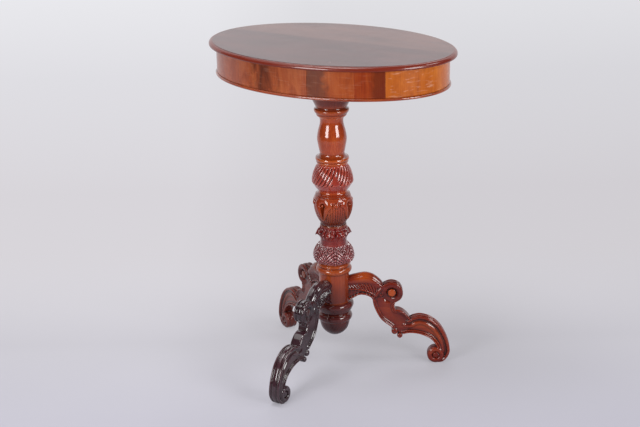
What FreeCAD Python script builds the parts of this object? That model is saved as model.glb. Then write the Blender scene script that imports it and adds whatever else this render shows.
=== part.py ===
import FreeCAD, Part
import math
import os

# Oval pedestal table: a moulded two-board top, a veneered frieze, a turned column and three scroll legs.
# Millimetres. The origin is on the floor on the column's axis, X runs along the oval, Y points to the back.

V = FreeCAD.Vector
Z_AXIS = V(0, 0, 1)

# Overall sizes
overall_height = 760.0
top_length = 580.0
top_width = 405.0

# Top boards
top_thickness = 11.0
field_inset = 7.0
quirk_height = 0.8
thumb_radius = 7.0
under_radius = 3.0
top_joint_y = 30.0

# Frieze under the top
top_overhang = 16.0
frieze_height = 59.0
core_thickness = 20.0
veneer_thickness = 1.5
bead_height = 6.0
bead_projection = 3.0
bead_rounding = 2.5

# Bearer between the column and the top, with its fixings
bearer_width = 120.0
bearer_thickness = 31.0
tenon_radius = 16.0
wedge_length = 16.0
wedge_thickness = 3.0
screw_bite = 7.0
screw_radius = 2.1
screw_head_radius = 4.2
screw_head_height = 2.6
screw_row_x = 45.0
screw_front_y = -75.0
screw_back_y = 85.0
block_length = 44.0
block_depth = 20.0
block_height = 30.0
block_angles = (0, 42, 138, 180, 222, 318)

# Turned column, from the pendant up to the capital; above the hub the sections share out the column's length
hub_bottom = 156.0
pendant_height = 85.0
pendant_ring_radius = 44.3
pendant_lower_ring_radius = 40.5
pendant_drop_radius = 34.8
hub_height = 96.0
hub_radius = 34.5
hub_ring_radius = 40.8
hub_top_radius = 34.5
acanthus_height = 47.0
acanthus_radius = 48.0
collar_height = 43.0
collar_leaf_radius = 41.0
collar_neck_radius = 30.0
collar_leaf_count = 6
collar_leaf_angle = -81.0
vase_height = 84.0
vase_radius = 46.0
vase_neck_radius = 31.5
twist_height = 63.0
twist_radius = 47.0
baluster_height = 108.0
baluster_radius = 33.4
baluster_neck_radius = 26.0
baluster_ring_radius = 37.4
capital_height = 121.0
capital_neck_radius = 29.0
capital_ring_radius = 39.2
capital_disc_radius = 62.0
groove_radius = 33.0

# Spigots between the column's sections
spigot_radius = 12.0
spigot_length = 20.0
spigot_end_gap = 1.0

# Legs: reaches are from the column's axis, rises are above the hub's underside, heights above the floor
leg_angles = {"leg_front": -90.0, "leg_right": 30.0, "leg_back": 150.0}
leg_thickness = 27.0
volute_thickness = 30.0
volute_reach = 132.0
volute_rise = 20.5
volute_radius = 26.0
volute_eye_radius = 12.0
volute_start_angle = 130.0
volute_end_angle = -72.0
eye_projection = 1.5
arm_top_rise = 59.0
arm_crest_reach = 73.0
arm_crest_rise = 69.0
arm_arch_reach = 61.0
arm_arch_rise = 16.5
arm_foot_rise = 3.0
elbow_reach = 86.0
elbow_rise = 8.0
stem_back_reach = 98.0
stem_back_height = 127.0
stem_heel_reach = 130.0
stem_heel_height = 90.0
stem_toe_reach = 158.0
stem_toe_height = 72.5
shelf_reach = 142.0
shelf_rise = -21.0
shelf_swell = 6.0
scroll_notch_reach = 174.0
scroll_notch_height = 112.0
scroll_crest_height = 117.5
scroll_shoulder_height = 99.0
scroll_flank_height = 67.0
scroll_tip_height = 33.0
scroll_apex_height = 75.5
scroll_belly_height = 61.0
scroll_width = 36.0
foot_reach = 231.0
foot_radius = 20.0
foot_flat_depth = 1.0
foot_eye_radius = 9.0
foot_edge_height = 1.5
curl_upper_radius = 7.5
curl_lower_radius = 6.5

# Sliding dovetails that hold the legs in the hub
tongue_depth = 14.0
tongue_tip_width = 16.0
tongue_neck_width = 12.0
tongue_height = 50.0

# Clearances
glue_line = 0.2
slip_fit = 0.15
screw_clearance = 0.2

# Levels and ovals that several pieces share
top_underside = overall_height - top_thickness
frieze_bottom = top_underside - frieze_height
bead_bottom = frieze_bottom - bead_height
bearer_bottom = top_underside - bearer_thickness
acanthus_bottom = hub_bottom + hub_height
lower_sections = acanthus_height + collar_height + vase_height
upper_sections = twist_height + baluster_height + capital_height
stretch = (bearer_bottom - acanthus_bottom) / (lower_sections + upper_sections)
collar_bottom = acanthus_bottom + stretch * acanthus_height
vase_bottom = collar_bottom + stretch * collar_height
twist_bottom = vase_bottom + stretch * vase_height
baluster_bottom = twist_bottom + stretch * twist_height
capital_bottom = baluster_bottom + stretch * baluster_height
pendant_bottom = hub_bottom - pendant_height
veneer_inset = top_overhang + veneer_thickness
core_inset = veneer_inset + glue_line
inner_inset = core_inset + core_thickness
inner_fit = inner_inset + glue_line

# Joints round the frieze, as polar angles; the veneer leaves are as uneven as the real ones
core_sides = ("right", "back_right", "back", "back_left", "left", "front_left", "front", "front_right")
bead_sides = ("right", "back", "left", "front")
veneer_joint_angles = (15.0, 55.0, 100.0, 145.0, 188.0, 231.0, 285.5, 313.5, 328.7, 375.0)


def between(first, last, share):
    """Value part of the way from one size to another."""
    return first + share * (last - first)


def oval_prism(inset, bottom, height):
    """Upright prism on the top's oval, drawn in by inset."""
    centre = V(0, 0, bottom)
    ellipse = Part.Ellipse(centre, top_length / 2 - inset, top_width / 2 - inset)
    return Part.Face(Part.Wire(ellipse.toShape())).extrude(V(0, 0, height))


def oval_ring(outer_inset, inner_edge_inset, bottom, height):
    """Oval band between two insets."""
    outer = oval_prism(outer_inset, bottom, height)
    return outer.cut(oval_prism(inner_edge_inset, bottom, height))


def polar_of(oval_angle, inset):
    """Polar angle in degrees of the point at an even step round the oval."""
    t = math.radians(oval_angle)
    x = (top_length / 2 - inset) * math.cos(t)
    y = (top_width / 2 - inset) * math.sin(t)
    return math.degrees(math.atan2(y, x))


def sector(first, last, bottom, height):
    """Upright wedge from the axis between two polar angles, wide enough to span the oval."""
    reach = top_length
    middle = (first + last) / 2
    corners = [V(0, 0, bottom)]
    for angle in (first, middle, last):
        turn = math.radians(angle)
        corners.append(V(reach * math.cos(turn), reach * math.sin(turn), bottom))
    corners.append(corners[0])
    return Part.Face(Part.makePolygon(corners)).extrude(V(0, 0, height))


def traced(start, steps):
    """Closed face in the XZ plane: steps are straight (x, z) or bowed (via x, via z, x, z)."""
    first = V(start[0], 0, start[1])
    at = first
    edges = []
    for step in steps:
        end = V(step[-2], 0, step[-1])
        if len(step) == 4:
            edges.append(Part.Arc(at, V(step[0], 0, step[1]), end).toShape())
        else:
            edges.append(Part.makeLine(at, end))
        at = end
    edges.append(Part.makeLine(at, first))
    return Part.Face(Part.Wire(edges))


def turned(bottom, top, first_radius, steps):
    """Turned solid: steps give radii in millimetres and rises as shares of the section's own height."""
    height = top - bottom
    outline = [(first_radius, bottom)] if first_radius > 0 else []
    for step in steps:
        level = [value if k % 2 == 0 else bottom + height * value for k, value in enumerate(step)]
        outline.append(tuple(level))
    outline.append((0.0, bottom + height))
    return traced((0.0, bottom), outline).revolve(V(0, 0, 0), Z_AXIS, 360)


def spigot(shoulder, direction):
    """Round tenon that stands out of a shoulder, up or down."""
    return Part.makeCylinder(spigot_radius, spigot_length, V(0, 0, shoulder), V(0, 0, direction))


def socket(mouth, direction):
    """Cutter for the hole that takes a spigot."""
    depth = spigot_length + spigot_end_gap
    return Part.makeCylinder(spigot_radius + slip_fit, depth, V(0, 0, mouth), V(0, 0, direction))


def screw(x, y, grow):
    """Countersunk screw driven up through the bearer, or with grow its hole."""
    head = Part.makeCone(
        screw_head_radius + grow, screw_radius + grow, screw_head_height, V(x, y, bearer_bottom)
    )
    length = bearer_thickness + screw_bite + grow
    shank = Part.makeCylinder(screw_radius + grow, length, V(x, y, bearer_bottom))
    return head.fuse(shank).removeSplitter()


def screw_places():
    """Positions of the bearer's screws, two in each board."""
    return [(side * screw_row_x, y) for side in (-1, 1) for y in (screw_front_y, screw_back_y)]


def top_slab():
    """The whole oval top with its moulded edge and its screw holes."""
    edge_height = top_thickness - quirk_height
    thumb = min(thumb_radius, 0.65 * edge_height)
    under = min(under_radius, 0.3 * edge_height)
    rim = oval_prism(0.0, top_underside, edge_height)
    upper = [e for e in rim.Edges if e.BoundBox.ZMin > top_underside + edge_height / 2]
    rim = rim.makeFillet(thumb, upper)
    lower = [e for e in rim.Edges if e.BoundBox.ZMax < top_underside + under / 2]
    rim = rim.makeFillet(under, lower)
    slab = rim.fuse(oval_prism(field_inset, top_underside, top_thickness)).removeSplitter()
    for x, y in screw_places():
        slab = slab.cut(screw(x, y, screw_clearance))
    return slab


def top_boards():
    """Front and back boards, glued edge to edge along the oval."""
    slab = top_slab()
    corner = V(-top_length, top_joint_y, top_underside - top_thickness / 2)
    behind = Part.makeBox(2 * top_length, top_width, 2 * top_thickness, corner)
    return {"top_board_front": slab.cut(behind), "top_board_back": slab.common(behind)}


def frieze_core():
    """Butt-jointed softwood segments that carry the veneer."""
    ring = oval_ring(core_inset, inner_inset, frieze_bottom, frieze_height)
    step = 360.0 / len(core_sides)
    pieces = {}
    for k, side in enumerate(core_sides):
        first = polar_of((k - 0.5) * step, core_inset)
        last = polar_of((k + 0.5) * step, core_inset)
        if last < first:
            last += 360.0
        pieces["frieze_core_" + side] = ring.common(sector(first, last, frieze_bottom, frieze_height))
    return pieces


def frieze_veneer():
    """Thin leaves round the core, with upright joints."""
    ring = oval_ring(top_overhang, veneer_inset, frieze_bottom, frieze_height)
    pieces = {}
    for k in range(len(veneer_joint_angles) - 1):
        leaf = sector(veneer_joint_angles[k], veneer_joint_angles[k + 1], frieze_bottom, frieze_height)
        pieces["frieze_veneer_%d" % (k + 1)] = ring.common(leaf)
    return pieces


def frieze_bead():
    """Rounded strip under the frieze, in four lengths mitred to each other."""
    outer = oval_prism(top_overhang - bead_projection, bead_bottom, bead_height)
    rounding = min(bead_rounding, 0.45 * bead_height)
    outer = outer.makeFillet(rounding, [e for e in outer.Edges if e.isClosed()])
    ring = outer.cut(oval_prism(inner_inset, bead_bottom, bead_height))
    step = 360.0 / len(bead_sides)
    pieces = {}
    for k, side in enumerate(bead_sides):
        first = polar_of((k - 0.5) * step, top_overhang)
        last = polar_of((k + 0.5) * step, top_overhang)
        if last < first:
            last += 360.0
        pieces["frieze_bead_" + side] = ring.common(sector(first, last, bead_bottom, bead_height))
    return pieces


def bearer():
    """Cross rail under the top: the column's tenon passes through it and screws hold it up."""
    rail = Part.makeBox(
        bearer_width, top_width, bearer_thickness, V(-bearer_width / 2, -top_width / 2, bearer_bottom)
    )
    rail = rail.common(oval_prism(inner_fit, bearer_bottom, bearer_thickness))
    rail = rail.cut(Part.makeCylinder(tenon_radius + slip_fit, bearer_thickness, V(0, 0, bearer_bottom)))
    for x, y in screw_places():
        rail = rail.cut(screw(x, y, screw_clearance))
    return rail


def glue_blocks():
    """Softwood blocks in the angle between the core and the top."""
    bottom = top_underside - block_height
    inside = oval_prism(inner_fit, bottom, block_height)
    blocks = []
    for angle in block_angles:
        t = math.radians(angle)
        x = (top_length / 2 - inner_fit) * math.cos(t)
        y = (top_width / 2 - inner_fit) * math.sin(t)
        outward = math.degrees(math.atan2(y * top_length ** 2, x * top_width ** 2))
        block = Part.makeBox(
            2 * block_depth, block_length, block_height, V(-block_depth, -block_length / 2, bottom)
        )
        block.rotate(V(0, 0, 0), Z_AXIS, outward)
        block.translate(V(x, y, 0))
        blocks.append(block.common(inside))
    return Part.makeCompound(blocks)


def tenon_wedge(grow):
    """Wedge that spreads the column's tenon, or with grow the kerf that it fills."""
    half_top = wedge_thickness / 2 + grow
    half_tip = wedge_thickness / 6 + grow
    bottom = top_underside - wedge_length - grow
    corners = [
        V(0, -half_tip, bottom),
        V(0, half_tip, bottom),
        V(0, half_top, top_underside),
        V(0, -half_top, top_underside),
        V(0, -half_tip, bottom),
    ]
    strip = Part.Face(Part.makePolygon(corners)).extrude(V(4 * tenon_radius, 0, 0))
    strip.translate(V(-2 * tenon_radius, 0, 0))
    tenon = Part.makeCylinder(tenon_radius, wedge_length + grow, V(0, 0, bottom))
    return strip if grow else strip.common(tenon)


def capital():
    """Ringed and flared head of the column, with a disc under the bearer and a wedged tenon through it."""
    ring = capital_ring_radius
    body = turned(capital_bottom, bearer_bottom, capital_neck_radius, [
        (0.84 * ring, 0.02, 0.88 * ring, 0.052),
        (0.87 * ring, 0.062),
        (0.965 * ring, 0.09, ring, 0.136),
        (0.985 * ring, 0.15),
        (0.9 * ring, 0.166, 0.87 * ring, 0.198),
        (0.923 * ring, 0.207),
        (1.1 * ring, 0.33, 0.968 * capital_disc_radius, 0.76),
        (capital_disc_radius, 0.80),
        (capital_disc_radius, 1.0),
    ])
    body = body.fuse(Part.makeCylinder(tenon_radius, bearer_thickness, V(0, 0, bearer_bottom)))
    body = body.fuse(spigot(capital_bottom, -1)).removeSplitter()
    return body.cut(tenon_wedge(slip_fit))


def baluster():
    """Plain swelling section with a dished ring at its foot."""
    ring = baluster_ring_radius
    neck = baluster_neck_radius
    body = turned(baluster_bottom, capital_bottom, groove_radius, [
        (0.973 * ring, 0.046, ring, 0.125),
        (0.987 * ring, 0.142),
        (1.154 * neck, 0.175, 1.077 * neck, 0.235),
        (0.94 * baluster_radius, 0.385, baluster_radius, 0.53),
        (0.931 * baluster_radius, 0.684, 1.054 * neck, 0.811),
        (neck, 0.9, capital_neck_radius, 1.0),
    ])
    return body.fuse(spigot(baluster_bottom, -1)).cut(socket(capital_bottom, -1)).removeSplitter()


def twist_bulb():
    """Bulb that carries the spiral reeds."""
    body = turned(twist_bottom, baluster_bottom, vase_neck_radius, [
        (1.02 * vase_neck_radius, 0.03),
        (0.866 * twist_radius, 0.14, twist_radius, 0.34),
        (0.951 * twist_radius, 0.6, 1.09 * groove_radius, 0.92),
        (groove_radius, 1.0),
    ])
    return body.fuse(spigot(twist_bottom, -1)).cut(socket(baluster_bottom, -1)).removeSplitter()


def vase():
    """Cup-shaped section with a dished shoulder over a thin rim."""
    body = turned(vase_bottom, twist_bottom, collar_neck_radius, [
        (collar_neck_radius, 0.06),
        (0.813 * vase_radius, 0.2, 0.965 * vase_radius, 0.43),
        (vase_radius, 0.585, 0.88 * vase_radius, 0.857),
        (0.833 * vase_radius, 0.881),
        (0.852 * vase_radius, 0.905),
        (1.076 * vase_neck_radius, 0.937, vase_neck_radius, 1.0),
    ])
    return body.fuse(spigot(vase_bottom, -1)).cut(socket(twist_bottom, -1)).removeSplitter()


def leaf_collar():
    """Neck with a ring of leaves that hug it and flare out at drooping tips."""
    neck = collar_neck_radius
    tip = collar_leaf_radius
    body = turned(collar_bottom, vase_bottom, neck, [
        (neck, 0.28),
        (0.87 * tip, 0.44, tip, 0.63),
        (tip, 0.66),
        (1.12 * neck, 0.75, 1.01 * neck, 0.9),
        (neck, 1.0),
    ])
    notch_floor = 1.083 * neck
    notch_half = math.radians(80.0 / collar_leaf_count)
    reach = 2 * tip
    notch = Part.Face(Part.makePolygon([
        V(notch_floor, 0, 0),
        V(reach, -(reach - notch_floor) * math.tan(notch_half), 0),
        V(reach, (reach - notch_floor) * math.tan(notch_half), 0),
        V(notch_floor, 0, 0),
    ])).extrude(V(0, 0, (vase_bottom - collar_bottom) / 2))
    notch.translate(V(0, 0, between(collar_bottom, vase_bottom, 0.45)))
    for k in range(collar_leaf_count):
        cutter = notch.copy()
        cutter.rotate(V(0, 0, 0), Z_AXIS, collar_leaf_angle + (k + 0.5) * 360.0 / collar_leaf_count)
        body = body.cut(cutter)
    return body.fuse(spigot(collar_bottom, -1)).cut(socket(vase_bottom, -1)).removeSplitter()


def acanthus_bulb():
    """Bulb under the collar, carved with overlapping leaves."""
    body = turned(acanthus_bottom, collar_bottom, hub_top_radius, [
        (0.875 * acanthus_radius, 0.106, acanthus_radius, 0.32),
        (0.95 * acanthus_radius, 0.63, 1.067 * collar_neck_radius, 0.985),
        (collar_neck_radius, 1.0),
    ])
    return body.fuse(spigot(acanthus_bottom, -1)).cut(socket(collar_bottom, -1)).removeSplitter()


def dovetail(grow):
    """Upright dovetail bar on the +X side of the hub, or with grow the slot that takes it."""
    tip = hub_radius - tongue_depth - grow
    spread = (tongue_tip_width - tongue_neck_width) / 2 / tongue_depth
    outer = hub_radius + tongue_depth / 2
    half_tip = tongue_tip_width / 2 + grow
    half_outer = tongue_neck_width / 2 + grow - spread * tongue_depth / 2
    corners = [
        V(tip, -half_tip, hub_bottom),
        V(outer, -half_outer, hub_bottom),
        V(outer, half_outer, hub_bottom),
        V(tip, half_tip, hub_bottom),
        V(tip, -half_tip, hub_bottom),
    ]
    return Part.Face(Part.makePolygon(corners)).extrude(V(0, 0, tongue_height + grow))


def hub():
    """Drum at the column's foot, with three dovetail slots that open downwards and rings above them."""
    ring = hub_ring_radius
    body = turned(hub_bottom, acanthus_bottom, hub_radius, [
        (hub_radius, 0.76),
        (ring, 0.85, 0.946 * ring, 0.92),
        (1.043 * hub_top_radius, 0.96),
        (hub_top_radius, 1.0),
    ])
    body = body.cut(socket(acanthus_bottom, -1)).cut(socket(hub_bottom, 1))
    for angle in leg_angles.values():
        slot = dovetail(slip_fit)
        slot.rotate(V(0, 0, 0), Z_AXIS, angle)
        body = body.cut(slot)
    return body


def pendant():
    """Ringed drop under the hub, which also closes the dovetail slots."""
    drop = pendant_drop_radius
    lower = pendant_lower_ring_radius
    upper = pendant_ring_radius
    body = turned(pendant_bottom, hub_bottom, 0.0, [
        (0.58 * drop, 0.10, 0.88 * drop, 0.25),
        (0.965 * drop, 0.36, drop, 0.46),
        (0.894 * lower, 0.476),
        (lower, 0.588, 0.936 * lower, 0.66),
        (1.045 * groove_radius, 0.688),
        (0.903 * upper, 0.79, 0.991 * upper, 0.895),
        (upper, 0.935, 0.95 * upper, 1.0),
    ])
    return body.fuse(spigot(hub_bottom, 1)).removeSplitter()


def plate(face, thickness):
    """Face in the leg's plane made into a board, centred on that plane."""
    board = face.extrude(V(0, thickness, 0))
    board.translate(V(0, -thickness / 2, 0))
    return board


def disc(reach, height, radius, thickness):
    """Round boss across the leg."""
    return Part.makeCylinder(radius, thickness, V(reach, -thickness / 2, height), V(0, 1, 0))


def curl(share, radius):
    """Small round curl that hangs under the stem, half sunk into it, part of the way from heel to toe."""
    run = stem_toe_reach - stem_heel_reach
    drop = stem_heel_height - stem_toe_height
    slope = math.atan2(drop, run)
    reach = stem_heel_reach + share * run - 0.5 * radius * math.sin(slope)
    height = stem_heel_height - share * drop - 0.5 * radius * math.cos(slope)
    return disc(reach, height, radius, leg_thickness)


def on_volute(angle):
    """Point of the upper volute's rim."""
    turn = math.radians(angle)
    x = volute_reach + volute_radius * math.cos(turn)
    return (x, hub_bottom + volute_rise + volute_radius * math.sin(turn))


def leg_arm():
    """Arched arm from the hub, and the stem that drops from the volute into the lower scroll."""
    root = hub_radius - tongue_depth / 2
    notch = (scroll_notch_reach, scroll_notch_height)
    shelf = (shelf_reach, hub_bottom + shelf_rise)
    shelf_bow = (
        between(shelf[0], notch[0], 0.5) + 0.5 * shelf_swell,
        between(shelf[1], notch[1], 0.5) + 0.85 * shelf_swell,
    )
    return traced((root, hub_bottom + arm_top_rise), [
        (arm_crest_reach, hub_bottom + arm_crest_rise) + on_volute(volute_start_angle),
        (volute_reach, hub_bottom + volute_rise),
        on_volute(volute_end_angle),
        shelf,
        shelf_bow + notch,
        (stem_toe_reach, stem_toe_height),
        (stem_heel_reach, stem_heel_height),
        (stem_back_reach, stem_back_height, elbow_reach, hub_bottom + elbow_rise),
        (arm_arch_reach, hub_bottom + arm_arch_rise, hub_radius, hub_bottom + arm_foot_rise),
        (root, hub_bottom + arm_foot_rise),
    ])


def leg_scroll():
    """Lower scroll: a tapering arch from the stem out and down to the foot's curl."""
    centre = foot_radius - foot_flat_depth
    tip = foot_reach + scroll_width
    crest_reach = between(scroll_notch_reach, foot_reach, 0.456)
    belly_reach = between(stem_heel_reach, foot_reach, 0.88)
    apex_reach = between(stem_heel_reach, foot_reach, 0.564)
    return traced((stem_heel_reach, stem_heel_height), [
        (scroll_notch_reach, scroll_notch_height),
        (crest_reach, scroll_crest_height, foot_reach + 0.11 * scroll_width, scroll_shoulder_height),
        (foot_reach + 0.78 * scroll_width, scroll_flank_height, tip, scroll_tip_height),
        (foot_reach + 0.89 * scroll_width, 0.7 * centre, foot_reach + 0.5 * scroll_width, foot_edge_height),
        (foot_reach, centre),
        (foot_reach + 0.08 * scroll_width, centre + 0.85 * foot_radius),
        (belly_reach, scroll_belly_height, apex_reach, scroll_apex_height),
        (stem_toe_reach, stem_toe_height),
    ])


def leg(angle):
    """One scroll leg: arm, volute, lower scroll and foot in one board, with its dovetail tongue."""
    volute_height = hub_bottom + volute_rise
    foot_height = foot_radius - foot_flat_depth
    body = plate(leg_arm(), leg_thickness).fuse([
        plate(leg_scroll(), leg_thickness),
        disc(volute_reach, volute_height, volute_radius, volute_thickness),
        disc(volute_reach, volute_height, volute_eye_radius, volute_thickness + 2 * eye_projection),
        disc(foot_reach, foot_height, foot_radius, leg_thickness),
        disc(foot_reach, foot_height, foot_eye_radius, leg_thickness + 2 * eye_projection),
        curl(0.3, curl_upper_radius),
        curl(0.78, curl_lower_radius),
    ]).removeSplitter()
    shoulder = Part.makeCylinder(hub_radius + glue_line, hub_height, V(0, 0, hub_bottom))
    floor_cut = Part.makeBox(
        2 * top_length, top_length, foot_radius, V(-top_length, -top_length / 2, -foot_radius)
    )
    body = body.cut(shoulder).cut(floor_cut).fuse(dovetail(0.0)).removeSplitter()
    body.rotate(V(0, 0, 0), Z_AXIS, angle)
    return body


def table_pieces():
    """Every piece by its node's name."""
    pieces = {}
    pieces.update(top_boards())
    pieces.update(frieze_core())
    pieces.update(frieze_veneer())
    pieces.update(frieze_bead())
    pieces["bearer"] = bearer()
    pieces["bearer_screws"] = Part.makeCompound([screw(x, y, 0.0) for x, y in screw_places()])
    pieces["glue_blocks"] = glue_blocks()
    pieces["tenon_wedge"] = tenon_wedge(0.0)
    pieces["capital"] = capital()
    pieces["baluster"] = baluster()
    pieces["twist_bulb"] = twist_bulb()
    pieces["vase"] = vase()
    pieces["leaf_collar"] = leaf_collar()
    pieces["acanthus_bulb"] = acanthus_bulb()
    pieces["hub"] = hub()
    pieces["pendant"] = pendant()
    for name, angle in leg_angles.items():
        pieces[name] = leg(angle)
    return pieces


os.makedirs("parts", exist_ok=True)
for node, shape in table_pieces().items():
    shape.exportStep("parts/%s.step" % node)
    box = shape.BoundBox
    print(node, len(shape.Solids), shape.isValid(), round(shape.Volume), [
        round(v, 1) for v in (box.XMin, box.XMax, box.YMin, box.YMax, box.ZMin, box.ZMax)
    ])
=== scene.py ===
import math

import bpy
import numpy as np
from mathutils import Matrix, Vector


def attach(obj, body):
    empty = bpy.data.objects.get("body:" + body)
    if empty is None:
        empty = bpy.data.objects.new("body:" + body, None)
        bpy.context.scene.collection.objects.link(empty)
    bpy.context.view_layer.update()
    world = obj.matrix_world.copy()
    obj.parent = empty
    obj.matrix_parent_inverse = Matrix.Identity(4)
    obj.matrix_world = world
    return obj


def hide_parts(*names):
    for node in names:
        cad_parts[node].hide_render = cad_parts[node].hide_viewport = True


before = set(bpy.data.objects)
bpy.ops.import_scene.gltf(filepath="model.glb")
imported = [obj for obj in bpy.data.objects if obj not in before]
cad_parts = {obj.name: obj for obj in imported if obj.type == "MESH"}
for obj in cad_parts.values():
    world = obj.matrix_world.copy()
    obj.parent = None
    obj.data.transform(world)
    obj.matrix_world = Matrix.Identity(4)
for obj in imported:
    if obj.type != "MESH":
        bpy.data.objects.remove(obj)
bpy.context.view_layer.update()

# Oval pedestal table. Shapes are worked out in millimetres in the table's frame and turned into metres
# when a mesh is made: the origin is on the floor on the column's axis, X runs along the oval.

MM = 0.001
FULL_TURN = 2 * math.pi

# Top and frieze
TOP_HALF_LENGTH = 290.0
TOP_HALF_WIDTH = 202.5
TOP_JOINT_Y = 30.0
TOP_JOINT_HALF = 0.7
FRIEZE_INSET = 16.0
FRIEZE_BOTTOM = 690.0
FRIEZE_TOP = 749.0
VENEER_THICKNESS = 1.5
VENEER_JOINTS = (15.0, 55.0, 100.0, 145.0, 188.0, 231.0, 285.5, 313.5, 328.7, 375.0)

# Camera, fitted to the picture's frame of 640 by 427
IMAGE_WIDTH = 640
FOCAL_PIXELS = 1399.7
SENSOR_WIDTH = 36.0
CAMERA_PLACE = (1.5393, -2.5577, 1.4246)
CAMERA_HEADING = math.radians(31.611)
CAMERA_PITCH = math.radians(19.481)
CAMERA_ROLL = math.radians(-1.136)
CAMERA_SIDE = math.atan2(CAMERA_PLACE[1], CAMERA_PLACE[0])

# Level directions away from the camera and to its right
AWAY = Vector((-math.sin(CAMERA_HEADING), math.cos(CAMERA_HEADING), 0.0))
RIGHT = Vector((AWAY.y, -AWAY.x, 0.0))

LEG_ANGLES = {"leg_front": -90.0, "leg_right": 30.0, "leg_back": 150.0}


# Numbers

def ease(low, high, value):
    """Smooth step from 0 to 1."""
    t = np.clip((value - low) / (high - low), 0.0, 1.0)
    return t * t * (3.0 - 2.0 * t)


def bump(offset, half_width):
    """Half-round ridge, 1 at its middle and 0 at its sides."""
    return np.sqrt(np.clip(1.0 - (offset / half_width) ** 2, 0.0, 1.0))


def bell(offset, width):
    """Bell curve, 1 at its middle."""
    return np.exp(-((offset / width) ** 2))


def dome(u, v, half_u, half_v):
    """Half of an egg over an oval spot, 1 at its middle and 0 outside."""
    return np.sqrt(np.clip(1.0 - (u / half_u) ** 2 - (v / half_v) ** 2, 0.0, 1.0))


def soft_min(a, b, radius):
    """Smaller of two fields, with the crease between them rounded."""
    h = np.clip(0.5 + 0.5 * (b - a) / radius, 0.0, 1.0)
    return b + (a - b) * h - radius * h * (1.0 - h)


def soft_max(a, b, radius):
    """Larger of two fields, with the crease between them filled."""
    return -soft_min(-a, -b, radius)


def repeated(theta, start, count):
    """Angle from the nearest of evenly spaced places round the column."""
    part = FULL_TURN / count
    return (theta - start + part / 2) % part - part / 2


def spline(points, per_span=10):
    """Smooth line through points."""
    p = np.array(points, float)
    p = np.vstack([2 * p[0] - p[1], p, 2 * p[-1] - p[-2]])
    t = np.linspace(0.0, 1.0, per_span, endpoint=False)[:, None]
    spans = []
    for a, b, c, d in zip(p[:-3], p[1:-2], p[2:-1], p[3:]):
        square = 2 * a - 5 * b + 4 * c - d
        cube = 3 * b - a - 3 * c + d
        spans.append(0.5 * (2 * b + (c - a) * t + square * t ** 2 + cube * t ** 3))
    return np.vstack(spans + [p[-2]])


def arc(start, via, end, step):
    """Points along the circular arc through three points, without the first."""
    a, b, c = (np.array(q, float) for q in (start, via, end))
    d = 2 * (a[0] * (b[1] - c[1]) + b[0] * (c[1] - a[1]) + c[0] * (a[1] - b[1]))
    sq = [float(q @ q) for q in (a, b, c)]
    ux = (sq[0] * (b[1] - c[1]) + sq[1] * (c[1] - a[1]) + sq[2] * (a[1] - b[1])) / d
    uy = (sq[0] * (c[0] - b[0]) + sq[1] * (a[0] - c[0]) + sq[2] * (b[0] - a[0])) / d
    centre = np.array([ux, uy])
    turns = [math.atan2(q[1] - uy, q[0] - ux) for q in (a, b, c)]
    sweep = (turns[2] - turns[0]) % FULL_TURN
    if (turns[1] - turns[0]) % FULL_TURN > sweep:
        sweep -= FULL_TURN
    radius = float(np.linalg.norm(a - centre))
    count = max(2, int(abs(sweep) * radius / step))
    angles = turns[0] + sweep * np.arange(1, count + 1) / count
    return list(centre + radius * np.stack([np.cos(angles), np.sin(angles)], -1))


def outline(steps, step):
    """Turner's profile as (radius, height) rows. Its steps are straight (r, z), bowed (via r, via z, r, z)
    or a list of points that a smooth curve passes through."""
    rows = [np.array(steps[0], float)]
    for s in steps[1:]:
        if isinstance(s, list):
            rows.extend(spline([rows[-1]] + s)[1:])
        elif len(s) == 4:
            rows.extend(arc(rows[-1], s[:2], s[2:], step))
        else:
            start, end = rows[-1], np.array(s, float)
            count = max(1, int(np.linalg.norm(end - start) / step))
            rows.extend(start + (end - start) * k / count for k in range(1, count + 1))
    return np.array(rows)


# Meshes

def add_piece(name, verts, quads, material, node, turn=0.0):
    """Smooth mesh piece that rides on the table and stands for a CAD node."""
    mesh = bpy.data.meshes.new(name)
    quads = np.array(quads, np.int32)
    mesh.vertices.add(len(verts))
    mesh.vertices.foreach_set("co", (np.asarray(verts) * MM).astype(np.float32).ravel())
    mesh.loops.add(quads.size)
    mesh.loops.foreach_set("vertex_index", quads.ravel())
    mesh.polygons.add(len(quads))
    mesh.polygons.foreach_set("loop_start", np.arange(0, quads.size, 4, dtype=np.int32))
    mesh.update(calc_edges=True)
    mesh.validate()
    mesh.polygons.foreach_set("use_smooth", np.ones(len(mesh.polygons), bool))
    piece = bpy.data.objects.new(name, mesh)
    piece.rotation_euler.z = turn
    bpy.context.scene.collection.objects.link(piece)
    mesh.materials.append(material)
    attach(piece, "root")
    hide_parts(node)
    return piece


def store(piece, name, values):
    """Number for each point of a piece, for its material to read."""
    layer = piece.data.attributes.new(name, "FLOAT", "POINT")
    layer.data.foreach_set("value", np.asarray(values, np.float32).ravel())


def read(items, name, width, kind=float):
    """Array of one property of a mesh's points or edges."""
    values = np.empty(len(items) * width, kind)
    items.foreach_get(name, values)
    return values.reshape(-1, width)


def mark_hollows(piece, rounds, span):
    """Stores how deep each point lies under its smoothed surroundings, as 0 for ridges to 1 for hollows."""
    mesh = piece.data
    count = len(mesh.vertices)
    place = read(mesh.vertices, "co", 3)
    a, b = read(mesh.edges, "vertices", 2, np.int32).T
    degree = np.bincount(a, minlength=count) + np.bincount(b, minlength=count)
    smooth = place
    for _ in range(rounds):
        sums = [np.bincount(a, smooth[b, k], count) + np.bincount(b, smooth[a, k], count)
                for k in range(3)]
        smooth = np.stack(sums, -1) / degree[:, None]
    depth = ((smooth - place) * read(mesh.vertices, "normal", 3)).sum(1)
    store(piece, "hollow", np.clip(0.5 + 0.5 * depth / (span * MM), 0.0, 1.0))


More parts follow.
